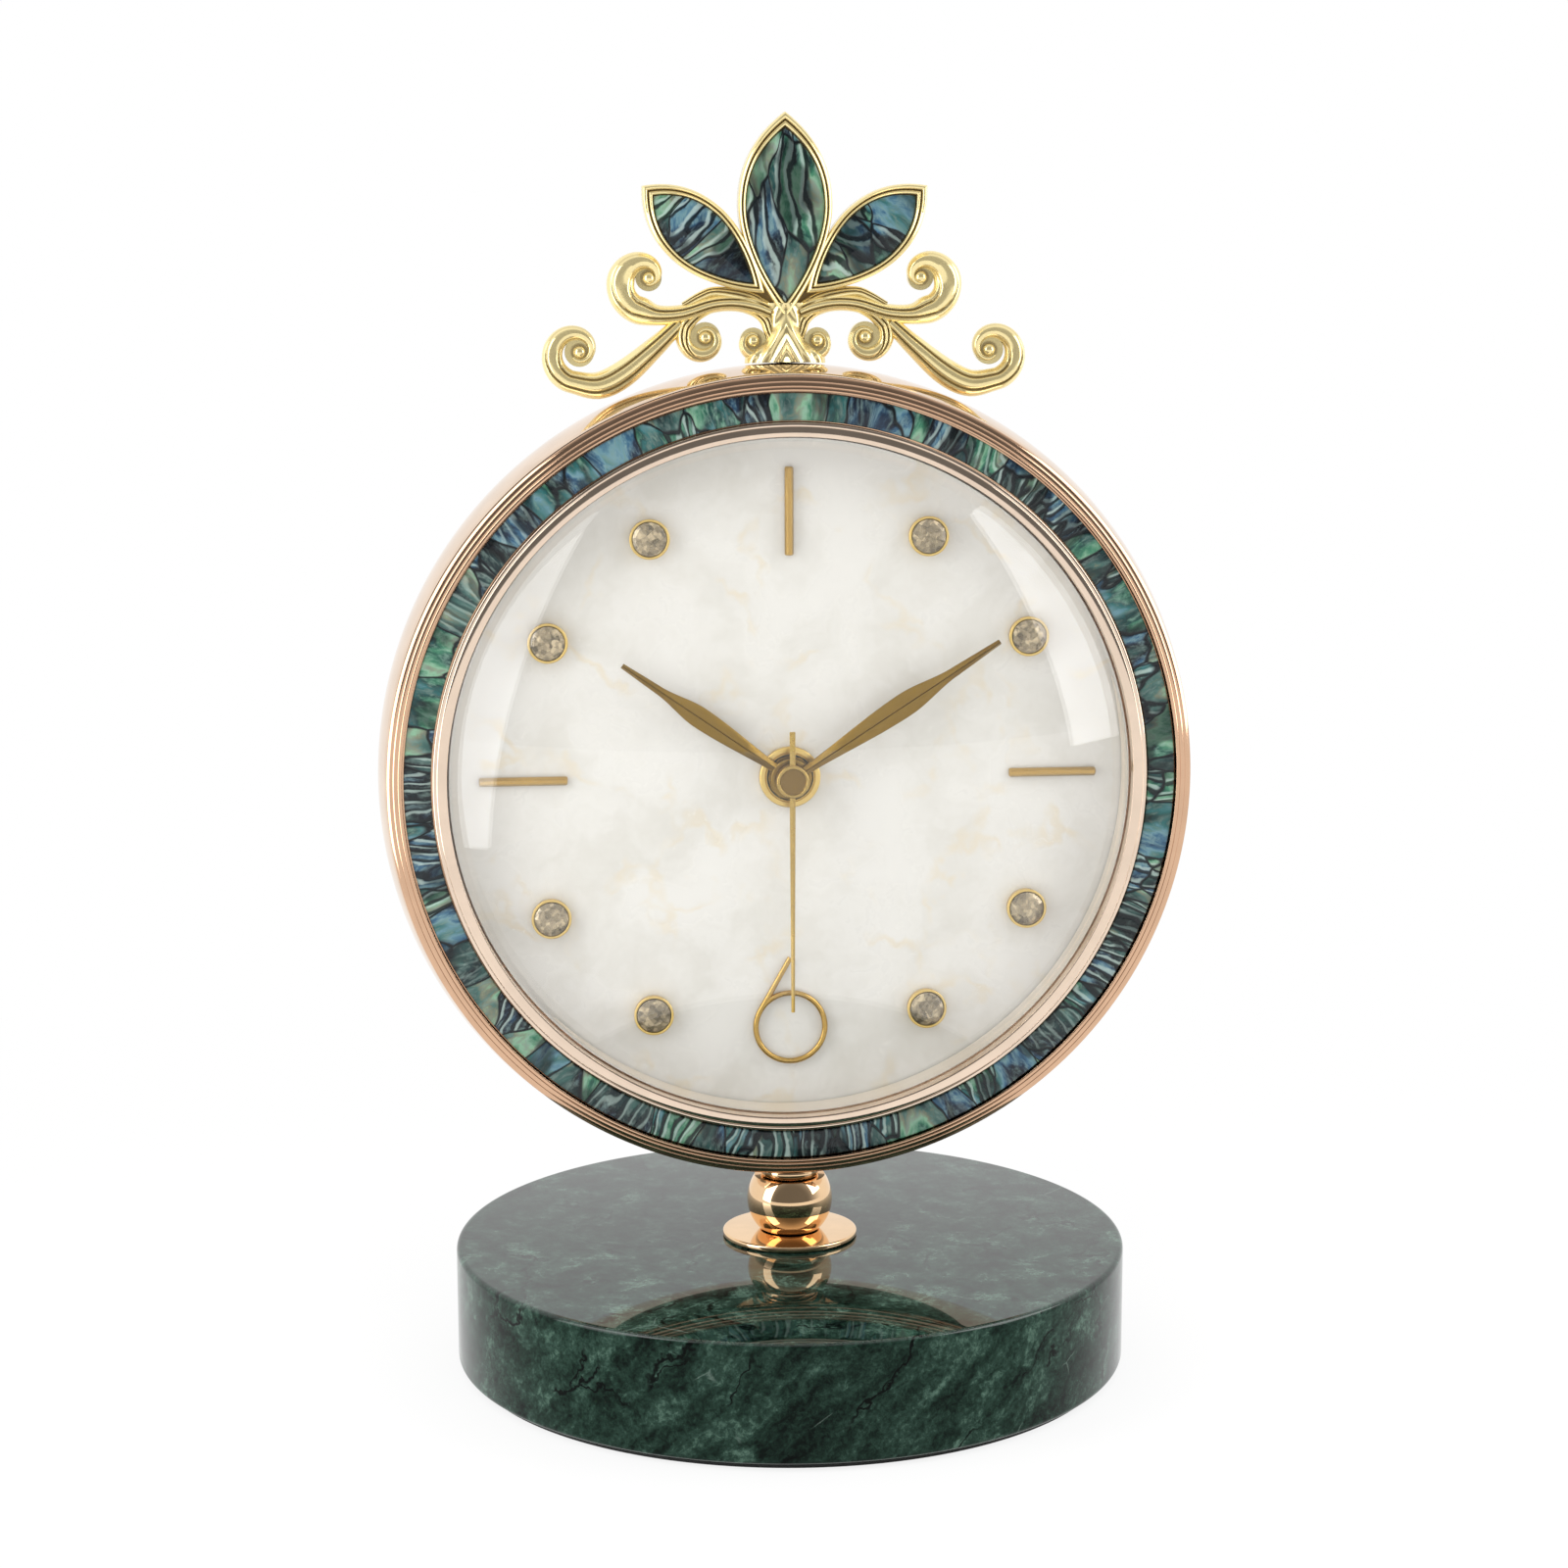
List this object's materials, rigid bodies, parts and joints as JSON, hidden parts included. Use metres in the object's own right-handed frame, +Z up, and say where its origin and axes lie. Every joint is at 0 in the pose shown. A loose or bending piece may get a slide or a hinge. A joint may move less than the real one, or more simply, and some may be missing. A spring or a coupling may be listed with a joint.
{
  "type": "tabletop clock",
  "caption": "Round tabletop clock with a metal drum case, shell inlay ring, domed glass, jewelled dial and scroll crown, on a ball stem and a disc base of green marble.",
  "frame": {"origin": "centre of the underside of the base pad, on the axis of the round base", "axes": "+Z up, the dial faces -Y, +X to the right of someone who reads the dial"},
  "size_m": [0.1466, 0.122, 0.2247],
  "materials": {
    "marble": "polished dark green marble",
    "pad": "matt foam",
    "rose_gold": "polished rose gold plating",
    "yellow_gold": "polished gold plated casting",
    "satin_gold": "satin gold plating",
    "abalone": "abalone shell under clear lacquer",
    "crystal_glass": "clear domed glass",
    "pearl": "polished white shell",
    "rhinestone": "cut glass stone",
    "black_cover": "fine matt black paint",
    "steel": "bright zinc plated",
    "dark_plastic": "moulded black plastic",
    "white_plastic": "moulded white plastic",
    "magnet": "sintered magnet",
    "copper": "enamelled copper wire",
    "circuit": "green circuit board",
    "cell": "plain grey sleeve"
  },
  "bodies": {
    "clock_body": {"base_bolt": "steel", "base_pad": "pad", "battery": "cell", "case_drum": "rose_gold", "circuit_board": "circuit", "crown_casting": "yellow_gold", "crown_screw": "steel", "crystal": "crystal_glass", "crystal_ring": "rose_gold", "dial_bush": "satin_gold", "dial_nut": "satin_gold", "dial_plate": "pearl", "drive_coil": "copper", "front_bezel": "rose_gold", "index_bar_12": "satin_gold", "index_bar_3": "satin_gold", "index_bar_9": "satin_gold", "index_ring_6": "satin_gold", "leaf_shell_centre": "abalone", "leaf_shell_left": "abalone", "leaf_shell_right": "abalone", "marble_base": "marble", "movement_cover": "dark_plastic", "movement_housing": "dark_plastic", "rear_cover": "black_cover", "rear_cover_screw_1": "steel", "rear_cover_screw_2": "steel", "rear_cover_screw_3": "steel", "shell_ring": "abalone", "stem_ball": "rose_gold", "stem_flange": "rose_gold", "stem_saddle": "rose_gold", "stud_cup_1": "satin_gold", "stud_cup_10": "satin_gold", "stud_cup_11": "satin_gold", "stud_cup_2": "satin_gold", "stud_cup_4": "satin_gold", "stud_cup_5": "satin_gold", "stud_cup_7": "satin_gold", "stud_cup_8": "satin_gold", "stud_stone_1": "rhinestone", "stud_stone_10": "rhinestone", "stud_stone_11": "rhinestone", "stud_stone_2": "rhinestone", "stud_stone_4": "rhinestone", "stud_stone_5": "rhinestone", "stud_stone_7": "rhinestone", "stud_stone_8": "rhinestone"},
    "minute_train": {"minute_arbor": "steel", "minute_hand": "satin_gold"},
    "hour_train": {"hour_wheel": "white_plastic", "hour_hand": "satin_gold"},
    "setting_train": {"minute_wheel": "white_plastic", "set_knob": "dark_plastic"},
    "second_train": {"second_wheel": "white_plastic", "second_hand": "satin_gold"},
    "rotor_body": {"rotor": "magnet"},
    "fifth_body": {"fifth_wheel": "white_plastic"},
    "third_body": {"third_wheel": "white_plastic"},
    "centre_body": {"centre_wheel": "white_plastic"}
  },
  "joints": [
    {"name": "minute_hand_turn", "type": "hinge", "parent": "clock_body", "child": "minute_train", "pos_m": [0, 0, 0.1078], "axis": [0, 1, 0], "continuous": true},
    {"name": "hour_hand_turn", "type": "hinge", "parent": "clock_body", "child": "hour_train", "pos_m": [0, 0, 0.1078], "axis": [0, 1, 0], "continuous": true},
    {"name": "setting_turn", "type": "hinge", "parent": "clock_body", "child": "setting_train", "pos_m": [0.012, 0, 0.1078], "axis": [0, 1, 0], "continuous": true},
    {"name": "second_hand_turn", "type": "hinge", "parent": "clock_body", "child": "second_train", "pos_m": [0, 0, 0.1078], "axis": [0, 1, 0], "continuous": true},
    {"name": "rotor_turn", "type": "hinge", "parent": "clock_body", "child": "rotor_body", "pos_m": [0.01304, 0, 0.12139], "axis": [0, 1, 0], "continuous": true},
    {"name": "fifth_turn", "type": "hinge", "parent": "clock_body", "child": "fifth_body", "pos_m": [0.00525, 0, 0.11689], "axis": [0, 1, 0], "continuous": true},
    {"name": "third_turn", "type": "hinge", "parent": "clock_body", "child": "third_body", "pos_m": [-0.00802, 0, 0.11582], "axis": [0, 1, 0], "continuous": true},
    {"name": "centre_turn", "type": "hinge", "parent": "clock_body", "child": "centre_body", "pos_m": [0, 0, 0.1078], "axis": [0, 1, 0], "continuous": true}
  ],
  "couplings": [
    {"joint": "hour_hand_turn", "follows": "minute_hand_turn", "ratio": 0.083333},
    {"joint": "setting_turn", "follows": "minute_hand_turn", "ratio": -0.33333},
    {"joint": "rotor_turn", "follows": "second_hand_turn", "ratio": 30},
    {"joint": "fifth_turn", "follows": "second_hand_turn", "ratio": -6},
    {"joint": "third_turn", "follows": "second_hand_turn", "ratio": -0.13333},
    {"joint": "centre_turn", "follows": "second_hand_turn", "ratio": 0.016667}
  ]
}
